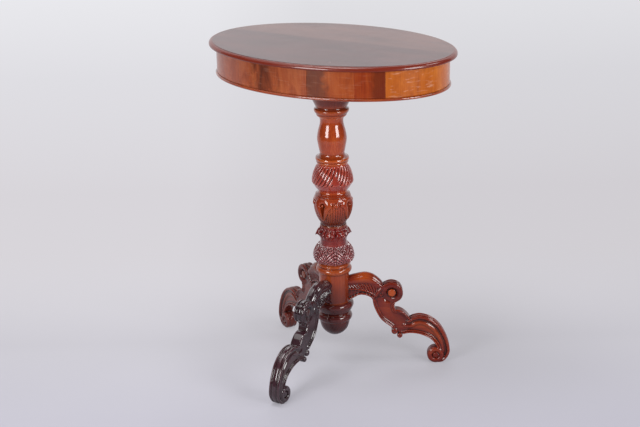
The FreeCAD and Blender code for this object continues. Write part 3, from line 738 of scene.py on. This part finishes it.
class LegGrid:
    """Points of one leg's solid, with the leg along +X, and the fields that make its parts."""

    def __init__(self):
        self.axes = [np.arange(lo, hi, LEG_STEP) for lo, hi in zip(LEG_LOW, LEG_HIGH)]
        self.x, self.z = np.meshgrid(self.axes[0], self.axes[2], indexing="ij")
        self.half = np.abs(self.axes[1])[None, :, None]

    def near(self, line):
        """Distance to a line."""
        return distance_to(line, self.x, self.z)[0]

    def depth(self, *runs):
        """Distance inside the outline that smooth runs make."""
        return depth_in(chain(*runs), self.x, self.z)

    def board(self, depth, height, grooved=0.0, round_off=SHARP_EDGE):
        """Solid from its depth inside an outline and its half thickness. Where grooved, two channels run
        along the edge and leave a crown between two beads."""
        channels = 2.4 * bell(self.half - 6.4, 2.0) * np.broadcast_to(grooved, depth.shape)[:, None, :]
        return soft_min(depth[:, None, :] - channels, height[:, None, :] - self.half, round_off)

    def stem(self):
        """Stem that rises into the volute: a hollow panel between beads, and a round band about the eye."""
        depth = self.depth(STEM_LEFT, VOLUTE_RIM, STEM_RIGHT, SHELF, STEM_FOOT)
        dx, dz = self.x - VOLUTE[0], self.z - VOLUTE[1]
        radius = np.hypot(dx, dz)
        angle = np.degrees(np.arctan2(dz, dx))
        from_gap = np.abs((angle - VOLUTE_GAP + 180.0) % 360.0 - 180.0)
        left = self.near(np.vstack([spline(STEM_LEFT), spline(VOLUTE_RIM)]))
        right = self.near(spline(STEM_RIGHT[1:] + SHELF))
        panel = np.maximum.reduce([
            11.2 - 5.2 * ease(3.0, 17.0, np.minimum(left, right)),
            9.4 + 3.8 * bump(left - 2.3, 2.6),
            8.2 + 2.8 * bump(left - 7.2, 2.0),
            8.2 + 6.0 * bump(left - 4.6, 5.0) * ease(158.0, 174.0, self.z),
            9.4 + 3.8 * bump(right - 2.3, 2.6),
            8.2 + 2.6 * bump(right - 6.8, 1.8),
        ])
        band = VOLUTE_FLOOR + 7.2 * bump(radius - 19.6, 7.8) * ease(0.0, 95.0, from_gap)
        eye = np.where(radius < EYE_RADIUS, 9.4 + 2.4 * bump(radius, EYE_RADIUS + 1.4), VOLUTE_FLOOR)
        height = panel + (np.maximum(band, eye) - panel) * (1.0 - ease(21.0, 28.0, radius))
        grooved = 1.0 - ease(3.0, 6.0, left - np.abs(depth))
        return self.board(depth, np.minimum(height, STEM_MOST), grooved, SOFT_EDGE)

    def scroll(self):
        """Lower scroll: a rounded sweep between a broad outer bead with a groove and a double inner one."""
        depth = self.depth(SCROLL_OUTER, SCROLL_CURL, SCROLL_INNER, SCROLL_ROOT)
        outer = self.near(spline(SCROLL_OUTER))
        inner = self.near(spline(SCROLL_INNER))
        height = np.maximum.reduce([
            8.0 + 3.4 * bell(outer - 16.5, 5.0) - 2.4 * bell(outer - 9.4, 2.2),
            8.2 + 5.0 * bump(outer - 3.4, 4.2),
            9.0 + 4.0 * bump(inner - 2.2, 2.4),
            8.0 + 3.6 * bump(inner - 6.8, 2.0),
        ])
        grooved = 1.0 - ease(3.0, 6.0, outer - np.abs(depth))
        return self.board(depth, np.minimum(height, SCROLL_MOST), grooved, SOFT_EDGE)

    def foot(self):
        """Round curl that the leg stands on, with a button at its middle."""
        radius = np.hypot(self.x - FOOT[0], self.z - FOOT[1])
        height = np.maximum(7.0, 8.0 + 5.6 * bump(radius - 13.4, 6.8))
        height = np.where(radius < 7.0, np.maximum(height, 9.6 + 2.0 * bump(radius, 8.0)), height)
        height = height - 3.0 * bell(radius - 7.6, 0.9)
        return self.board(FOOT_RADIUS - radius, np.minimum(height, FOOT_MOST), 0.5, SOFT_EDGE)

    def curls(self):
        """Small curls where the beads end under the stem."""
        solids = []
        for cx, cz, size in CURLS:
            radius = np.hypot(self.x - cx, self.z - cz)
            height = 9.4 + 4.0 * bump(radius, size) - 2.0 * bell(radius, 1.6)
            solids.append(self.board(size - radius, height))
        return np.maximum(*solids)

    def arm(self):
        """Veined leaf along the arm's side, with a rippled rib and a rippled lower edge."""
        depth = self.depth(ARM_TOP, ARM_END, ARM_ARCH, ARM_ROOT)
        line = spline(ARM_RIB)
        rib, along = distance_to(line, self.x, self.z)
        above = self.z > np.interp(self.x, line[:, 0], line[:, 1])
        ripple = np.cos(FULL_TURN * along / 9.0)
        veins = reeds((along + 0.9 * rib) / 6.4, 2.2)
        leaf = np.where(above, 11.6 + veins, 8.8 + 0.7 * ripple)
        leaf = np.maximum(leaf, 9.0 + 3.8 * bump(rib - 0.3 * ripple, 2.4))
        edge = self.near(spline(ARM_ARCH))
        leaf = np.maximum(leaf, 8.6 + 3.8 * bump(edge - 2.4 - 0.6 * ripple, 3.0))
        return self.board(depth, leaf, 0.0, LEAF_EDGE)

    def roll(self):
        """Smooth roll over the arm that ends in a tongue at the volute, with lines along its crown."""
        line = spline(ARM_ROLL)
        distance, along = distance_to(line, self.x, self.z)
        thick = np.interp(along, ROLL_ALONG, ROLL_THICKNESS)
        above = np.where(self.z > np.interp(self.x, line[:, 0], line[:, 1]), 1.0, -1.0)
        lift = (distance / thick)[:, None, :]
        wide = self.half / (0.25 * thick + 10.0)[:, None, :]
        solid = (1.0 - np.sqrt(lift ** 2 + wide ** 2)) * thick[:, None, :]
        crown = np.arctan2(wide, above[:, None, :] * lift + 1e-6)
        for place in ROLL_LINES:
            solid = solid - 0.9 * bell(crown - place, 0.17)
        return solid

    def solid(self):
        """Whole leg as a field that is positive inside, cut flat on the floor."""
        field = soft_max(self.stem(), self.scroll(), PART_BLEND)
        for part in (self.foot(), self.curls(), self.arm(), self.roll()):
            field = soft_max(field, part, PART_BLEND)
        return np.minimum(field, self.axes[2][None, None, :])


def surface_net(axes, field):
    """Quads over the zero level of a field on a grid, with points pulled onto the level."""
    low = np.array([a[0] for a in axes])
    step = axes[0][1] - axes[0][0]
    solid = field > 0
    shape = np.array(field.shape) - 1
    corners = list(np.ndindex(2, 2, 2))
    filled = np.zeros(shape, np.int8)
    for corner in corners:
        filled += solid[tuple(slice(o, o + n) for o, n in zip(corner, shape))]
    cells = np.argwhere((filled > 0) & (filled < 8))
    value = np.stack([field[tuple((cells + c).T)] for c in corners], -1)
    total = np.zeros((len(cells), 3))
    hits = np.zeros(len(cells))
    for p, near in enumerate(corners):
        for q, far in enumerate(corners):
            if q <= p or sum(abs(m - n) for m, n in zip(near, far)) != 1:
                continue
            crossed = (value[:, p] > 0) != (value[:, q] > 0)
            run = np.where(crossed, value[:, p] - value[:, q], 1.0)
            t = np.where(crossed, value[:, p] / run, 0.0)[:, None]
            total += crossed[:, None] * (np.array(near) + t * (np.array(far) - np.array(near)))
            hits += crossed
    points = cells + total / hits[:, None]
    index = np.full(shape, -1, np.int32)
    index[tuple(cells.T)] = np.arange(len(cells))
    quads = []
    for axis in range(3):
        u, v = (axis + 1) % 3, (axis + 2) % 3
        edges = np.argwhere(np.diff(solid, axis=axis))
        inner = (edges[:, u] > 0) & (edges[:, v] > 0)
        inner &= (edges[:, u] < shape[u]) & (edges[:, v] < shape[v])
        edges = edges[inner]
        ring = []
        for du, dv in ((-1, -1), (0, -1), (0, 0), (-1, 0)):
            cell = edges.copy()
            cell[:, u] += du
            cell[:, v] += dv
            ring.append(index[tuple(cell.T)])
        quad = np.stack(ring, -1)
        turn = ~solid[tuple(edges.T)]
        quad[turn] = quad[turn][:, ::-1]
        quads.append(quad)
    return low + points * step, np.vstack(quads)


def relax(verts, quads, rounds):
    """Takes the grid's steps out of a mesh: pulls points toward their neighbours, then pushes them back.
    No point ends below the floor."""
    ends = np.vstack([quads[:, [k, (k + 1) % 4]] for k in range(4)])
    here, there = ends.T
    count = np.bincount(here, minlength=len(verts)).astype(float)[:, None]
    for k in range(2 * rounds):
        sums = [np.bincount(here, verts[there, axis], len(verts)) for axis in range(3)]
        share = RELAX_PULL if k % 2 == 0 else RELAX_PUSH
        verts = verts + share * (np.stack(sums, -1) / count - verts)
    return np.maximum(verts, [-np.inf, -np.inf, 0.0])


def rubbed_and_lit_share(verts):
    """How far a leg is lightened: polish worn by rubbing on the eye, the roll's crest and the scroll's
    middle, and painted light on the stem's middle.
    """
    x, z = verts[:, 0], verts[:, 2]
    eye = 0.8 * (1.0 - ease(6.0, 11.0, np.hypot(x - VOLUTE[0], z - VOLUTE[1])))
    crest = 0.7 * bell(x - 66.0, 20.0) * ease(200.0, 216.0, z)
    # Painted light: the middle of the stem's hollow panel is lightened where light falls on it
    stem = 0.15 * bell(distance_to(STEM_PAINTED_LIGHT, x, z)[0], 10.0)
    sweep = 0.45 * bell(distance_to(spline(SCROLL_RUB), x, z)[0], 8.0)
    return np.maximum.reduce([eye, crest, stem, sweep])


def build_legs():
    """Three legs from one carved mesh, each turned to its place and with its own colour."""
    grid = LegGrid()
    verts, quads = surface_net(grid.axes, grid.solid())
    verts = relax(verts, quads, RELAX_ROUNDS)
    rubbed_and_lit = rubbed_and_lit_share(verts)
    for node, angle in LEG_ANGLES.items():
        tones, gloss, rubbed_and_lit_tone = LEG_FINISH[node]
        material = polished_wood(node + "_mahogany", tones, "X", gloss, soil_and_shade=LEG_SOIL_AND_SHADE,
                                 change=rubbed_and_lit_patches(rubbed_and_lit_tone), dull_tops=node != "leg_front")
        piece = add_piece(node + "_carved", verts, quads, material, node, math.radians(angle))
        mark_hollows(piece, *LEG_HOLLOWS)
        store(piece, "rubbed_and_lit", rubbed_and_lit)


# Frieze

VENEER_TONES = [("7a3214", "9a4a20", "b4642e")] * 4 + [
    ("7a3420", "984a2c", "b0623e"), ("743018", "984826", "b26236"), ("7a3014", "9a451c", "b25e2c"),
    ("64200a", "8a3210", "a44c1c"), ("8e3e10", "b05a1a", "c8742a"),
]

# By leaf, counted from 0: the dark cloud's start and end across the leaf, its tone and its strength
VENEER_PATCHES = {
    5: (0.28, 0.5, "3e1c14", 0.8),
    6: (0.0, 0.44, "4e2a20", 0.75),
    7: (0.6, 1.6, "4a180c", 0.6),
}
LIGHT_SCUFFS = 0.1
VENEER_SCUFFED = {8: 0.55}
VENEER_GLOSS = (0.2, 0.5, 1.5, 0.1)
VENEER_ROUGH = (0.24, 0.4)
VENEER_FIGURE = (9.0, 30.0, 1.6)

# Points to a degree, rows, set-back behind the solid's face, easing of the ends and ripple
VENEER_DENSITY = 3.2
VENEER_ROWS = 21
VENEER_SET_BACK = 0.1
VENEER_EASE = 0.3
VENEER_RIPPLE = 0.07


def oval_point(inset, angle):
    """Point of the top's oval, drawn in by inset, at a polar angle."""
    a, b = TOP_HALF_LENGTH - inset, TOP_HALF_WIDTH - inset
    reach = a * b / np.sqrt((b * np.cos(angle)) ** 2 + (a * np.sin(angle)) ** 2)
    return reach * np.cos(angle), reach * np.sin(angle)


def strip(p, q):
    """Quads between two rows of points."""
    return np.stack([p[:-1], p[1:], q[1:], q[:-1]], -1)


def veneer_leaf(first, last, phase):
    """Thin leaf between two polar angles, with eased ends and a slight ripple over the core."""
    turn = np.radians(np.linspace(first, last, int((last - first) * VENEER_DENSITY)))
    angle, z = np.meshgrid(turn, np.linspace(FRIEZE_BOTTOM, FRIEZE_TOP, VENEER_ROWS))
    rows, cols = angle.shape
    from_end = np.minimum(np.arange(cols), np.arange(cols)[::-1])[None, :]
    ripple = VENEER_RIPPLE * np.sin(angle * 61.0 + phase) * np.sin(angle * 23.0 + 0.3 * z)
    eased = np.where(from_end == 0, VENEER_EASE, np.where(from_end == 1, 0.0, ripple))
    inset = FRIEZE_INSET + VENEER_SET_BACK + eased
    outer = np.stack([*oval_point(inset, angle), z], -1).reshape(-1, 3)
    inner = np.stack([*oval_point(FRIEZE_INSET + VENEER_THICKNESS, angle), z], -1).reshape(-1, 3)
    at = np.arange(rows * cols).reshape(rows, cols)
    back = at + rows * cols
    quads = [np.vstack([strip(at[k], at[k + 1]) for k in range(rows - 1)]),
             np.vstack([strip(back[k + 1], back[k]) for k in range(rows - 1)]),
             strip(at[-1], back[-1]), strip(at[0, ::-1], back[0, ::-1]),
             strip(at[::-1, 0], back[::-1, 0]), strip(at[:, -1], back[:, -1])]
    across = np.tile(np.linspace(0.0, 1.0, cols), 2 * rows)
    return np.vstack([outer, inner]), np.vstack(quads), across


def build_veneer():
    """The nine veneer leaves round the frieze."""
    for k, (first, last) in enumerate(zip(VENEER_JOINTS[:-1], VENEER_JOINTS[1:])):
        node = "frieze_veneer_%d" % (k + 1)
        verts, quads, across = veneer_leaf(first, last, k)
        change = veneer_changes(VENEER_SCUFFED.get(k, LIGHT_SCUFFS), VENEER_PATCHES.get(k))
        material = polished_wood(node + "_mahogany", VENEER_TONES[k], "Z", VENEER_GLOSS,
                                 rough=VENEER_ROUGH, figure=VENEER_FIGURE, change=change)
        piece = add_piece(node + "_leaf", verts, quads, material, node)
        store(piece, "across", across)


TOP_ROUGH = (0.2, 0.3)
BEAD_GLOSS = (0.2, 0.9, 1.54, 0.06)


def dress_cad():
    """Materials for the CAD pieces that are not replaced, by the start of their names."""
    soft = plain_wood("softwood", "6a4a2e", "a07a50", "X")
    finishes = {
        "top_board_front": polished_wood("top_front_mahogany", ("3b1a18", "522623", "6a3933"), "X",
                                         (0.3, 0.34, 1.5, 0.06), rough=TOP_ROUGH, change=top_changes),
        "top_board_back": polished_wood("top_back_mahogany", ("4e2721", "66382f", "7e4d40"), "X",
                                        (0.3, 0.38, 1.5, 0.06), rough=TOP_ROUGH, change=top_changes),
        "frieze_bead": polished_wood("bead_mahogany", ("6a2612", "8c3a1c", "aa562e"), "X", BEAD_GLOSS),
        "frieze_core": soft,
        "bearer": soft,
        "glue_blocks": soft,
        "tenon_wedge": plain_wood("beech", "7a5738", "a8845a", "Z"),
        "bearer_screws": dull_steel("screw_steel"),
    }
    for name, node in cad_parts.items():
        fits = [start for start in finishes if name.startswith(start)]
        if fits:
            node.data.materials.clear()
            node.data.materials.append(finishes[max(fits, key=len)])


# Stage

# Turn from the camera's side in degrees, distance, height, width, length, watts and height aimed at
LAMPS = {
    "strip_left": (-40.0, 2.2, 1.0, 0.9, 0.85, 31.0, 1.0),
    "strip_right": (46.0, 2.2, 1.0, 0.9, 0.85, 31.0, 1.0),
    "back_fill": (176.0, 2.0, 2.5, 1.6, 1.0, 12.0, 0.4),
    "side_right": (78.0, 1.8, 1.7, 0.6, 0.6, 9.0, 0.3),
    "ceiling": (-84.0, 1.2, 2.5, 1.7, 1.5, 13.0, 0.3),
    "over": (-46.0, 0.7, 2.9, 1.1, 1.0, 27.0, 0.5),
}
WORLD_LIGHT = (0.9, 0.9, 0.94, 1.0)
WORLD_STRENGTH = 0.09
WORLD_IN_VIEW = "dcdadf"

# Sweep in metres: flat floor behind the axis, bend's radius, floor before the axis, half width, top
SWEEP_BACK, SWEEP_BEND, SWEEP_FRONT, SWEEP_SIDE, SWEEP_TOP = 1.4, 1.2, 3.4, 4.5, 4.0
# Glow along the sweep by depth, painted lighter up the backdrop
SWEEP_TONES = [(0.19, "dedce8"), (0.26, "f0eef4"), (0.36, "d8d5da"), (0.45, "d8d5da"), (0.6, "dfdee3"),
               (0.7, "ebebef"), (0.95, "f4f4f7")]


def add_camera():
    """Camera at the place and angle that fit the picture."""
    forward = AWAY * math.cos(CAMERA_PITCH) - Vector((0, 0, math.sin(CAMERA_PITCH)))
    up = RIGHT.cross(forward)
    tilted = RIGHT * math.cos(CAMERA_ROLL) + up * math.sin(CAMERA_ROLL)
    upright = up * math.cos(CAMERA_ROLL) - RIGHT * math.sin(CAMERA_ROLL)
    data = bpy.data.cameras.new("camera")
    data.sensor_width = SENSOR_WIDTH
    data.sensor_fit = "HORIZONTAL"
    data.lens = FOCAL_PIXELS / IMAGE_WIDTH * SENSOR_WIDTH
    camera = bpy.data.objects.new("camera", data)
    turn = Matrix((tilted, upright, -forward)).transposed()
    camera.matrix_world = Matrix.Translation(CAMERA_PLACE) @ turn.to_4x4()
    bpy.context.scene.collection.objects.link(camera)
    bpy.context.scene.camera = camera


def add_lamp(name, side, distance, height, width, tall, power, aim):
    """Soft box at an angle from the camera's side, turned to a height on the column's axis."""
    data = bpy.data.lights.new(name, "AREA")
    data.shape = "RECTANGLE"
    data.size, data.size_y = width, tall
    data.energy = power
    lamp = bpy.data.objects.new(name, data)
    angle = CAMERA_SIDE + math.radians(side)
    lamp.location = (distance * math.cos(angle), distance * math.sin(angle), height)
    lamp.rotation_euler = (Vector((0, 0, aim)) - lamp.location).to_track_quat("-Z", "Y").to_euler()
    bpy.context.scene.collection.objects.link(lamp)


def pale_paper():
    """Paper sweep, lighter up the backdrop, where it is bright for the camera and in reflections. Its back
    is clear, so that the table can be seen from behind."""
    n = Nodes("pale_paper")
    depth = n.span(n.toward((AWAY.x, AWAY.y, 1.0)), 0.0, 1.0, -1.6, 4.8)
    sideways = n.span(n.toward(tuple(RIGHT)), 0.0, 1.0, -1.2, 1.2)
    mottle = n.noise((1.5, 1.5, 1.5), 2.0, 0.5)
    # Painted light on the sweep: the floor darker toward the camera, and floor and glow dimmer to the right
    floor = n.ramp(depth, (0.18, "b0aeba"), (0.3, "bcbac2"))
    floor = n.mix("MULTIPLY", 0.06, floor, n.ramp(mottle, (0.3, 0.0), (0.7, 1.0)))
    wall = n.ramp(depth, *SWEEP_TONES)
    dim = n.ramp(sideways, (0.32, 1.0), (0.48, 0.92), (0.7, 0.93))
    floor = n.mix("MULTIPLY", 1.0, floor, dim)
    wall = n.mix("MULTIPLY", 1.0, wall, dim)
    n.finish(Base_Color=floor, Roughness=0.75)
    glow = n.add("ShaderNodeEmission", {"Color": wall, "Strength": 1.0})
    path = n.add("ShaderNodeLightPath").outputs
    lit = n.ramp(depth, (0.2, 0.32), (0.27, 0.37), (0.36, 1.0))
    in_view = n.math("MULTIPLY", path["Is Camera Ray"], lit)
    bounced = n.math("MAXIMUM", path["Is Glossy Ray"], path["Is Transmission Ray"])
    bounced = n.math("MULTIPLY", bounced, n.ramp(depth, (0.26, 0.0), (0.36, 1.0)))
    share = n.math("MAXIMUM", in_view, bounced)
    mixed = n.add("ShaderNodeMixShader", {0: share, 1: n.shader.outputs[0], 2: glow.outputs[0]})
    behind = n.add("ShaderNodeNewGeometry").outputs["Backfacing"]
    clear = n.add("ShaderNodeBsdfTransparent").outputs[0]
    sided = n.add("ShaderNodeMixShader", {0: behind, 1: mixed.outputs[0], 2: clear})
    n.tree.links.new(sided.outputs[0], n.tree.nodes["Material Output"].inputs["Surface"])
    return n.material


def add_sweep():
    """Floor that curves up into a backdrop, square to the camera."""
    bend = [(SWEEP_BACK + SWEEP_BEND * math.sin(t), SWEEP_BEND * (1 - math.cos(t)))
            for t in np.linspace(0.1, math.pi / 2, 14)]
    flat = [(-SWEEP_FRONT, 0.0), (0.0, 0.0), (SWEEP_BACK, 0.0)]
    rows = flat + bend + [(SWEEP_BACK + SWEEP_BEND, SWEEP_TOP)]
    verts = [AWAY * far + RIGHT * side + Vector((0, 0, z))
             for far, z in rows for side in (-SWEEP_SIDE, SWEEP_SIDE)]
    faces = [(2 * k, 2 * k + 1, 2 * k + 3, 2 * k + 2) for k in range(len(rows) - 1)]
    mesh = bpy.data.meshes.new("sweep")
    mesh.from_pydata(verts, [], faces)
    mesh.polygons.foreach_set("use_smooth", np.ones(len(faces), bool))
    mesh.materials.append(pale_paper())
    sweep = bpy.data.objects.new("sweep", mesh)
    bpy.context.scene.collection.objects.link(sweep)


def light_stage():
    """Dim world that looks pale to the camera, and the soft boxes."""
    scene = bpy.context.scene
    scene.view_settings.view_transform = "Standard"
    world = bpy.data.worlds.new("studio")
    world.use_nodes = True
    nodes, links = world.node_tree.nodes, world.node_tree.links
    dim, pale = nodes["Background"], nodes.new("ShaderNodeBackground")
    dim.inputs["Color"].default_value = WORLD_LIGHT
    dim.inputs["Strength"].default_value = WORLD_STRENGTH
    pale.inputs["Color"].default_value = linear(WORLD_IN_VIEW)
    mixed = nodes.new("ShaderNodeMixShader")
    links.new(nodes.new("ShaderNodeLightPath").outputs["Is Camera Ray"], mixed.inputs[0])
    links.new(dim.outputs[0], mixed.inputs[1])
    links.new(pale.outputs[0], mixed.inputs[2])
    links.new(mixed.outputs[0], nodes["World Output"].inputs["Surface"])
    scene.world = world
    for name, settings in LAMPS.items():
        add_lamp(name, *settings)


build_column()
build_legs()
build_veneer()
dress_cad()
add_camera()
add_sweep()
light_stage()
